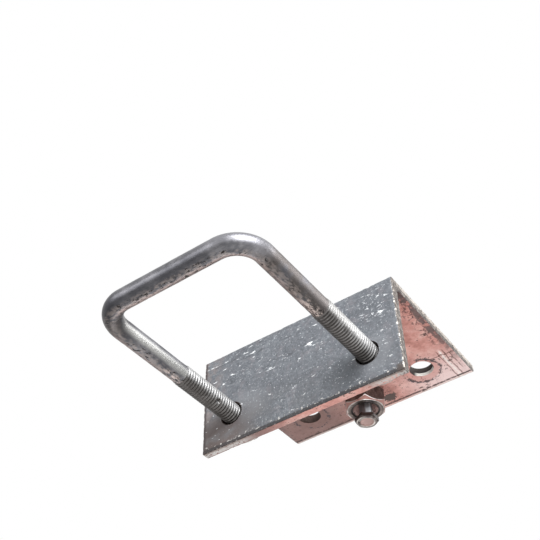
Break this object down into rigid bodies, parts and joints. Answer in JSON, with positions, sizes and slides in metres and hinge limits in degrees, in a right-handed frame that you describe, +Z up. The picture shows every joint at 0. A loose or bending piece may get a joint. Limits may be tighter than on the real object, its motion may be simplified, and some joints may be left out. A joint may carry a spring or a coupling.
{
  "type": "roller support bracket",
  "caption": "Angle bracket clamped to a beam by a square-bend U-bolt, with a top leg drilled to carry a conveyor roller and a bolt standing through a hexagon spacer nut.",
  "frame": {"origin": "on the outer face of the front leg, which bears on the beam, midway between the two U-bolt holes", "axes": "+X along the angle, +Y into the top leg and away from the beam, +Z up towards the heel and the top leg's outer face"},
  "size_m": [0.13, 0.2136, 0.0765],
  "materials": {
    "angle_steel": "worn dull blue-grey coat with salmon primer inside the angle",
    "rod_steel": "dull bare steel with light pitting",
    "fastener_steel": "worn zinc plate",
    "dark_fastener": "darkened plain steel with bright worn edges"
  },
  "bodies": {
    "bracket": {"angle_bracket": "angle_steel", "left_clamp_washer": "fastener_steel", "right_clamp_washer": "fastener_steel", "spacer_nut": "dark_fastener", "roller_bolt": "dark_fastener", "roller_bolt_washer": "fastener_steel", "roller_bolt_nut": "fastener_steel"},
    "clamp": {"u_bolt": "rod_steel"},
    "left_nut": {"left_clamp_nut": "fastener_steel"},
    "right_nut": {"right_clamp_nut": "fastener_steel"}
  },
  "joints": [
    {"name": "u_bolt_draw", "type": "slide", "parent": "bracket", "child": "clamp", "axis": [0, 1, 0], "range_m": [-0.004, 0.05]},
    {"name": "left_nut_spin", "type": "hinge", "parent": "bracket", "child": "left_nut", "pos_m": [-0.045, 0.0135, 0], "axis": [0, -1, 0], "range_deg": [-720, 9000]},
    {"name": "right_nut_spin", "type": "hinge", "parent": "bracket", "child": "right_nut", "pos_m": [0.045, 0.0135, 0], "axis": [0, -1, 0], "range_deg": [-720, 9000]}
  ],
  "couplings": [
    {"joint": "left_nut_spin", "follows": "u_bolt_draw", "rad_per_m": 3141.6},
    {"joint": "right_nut_spin", "follows": "u_bolt_draw", "rad_per_m": 3141.6}
  ]
}
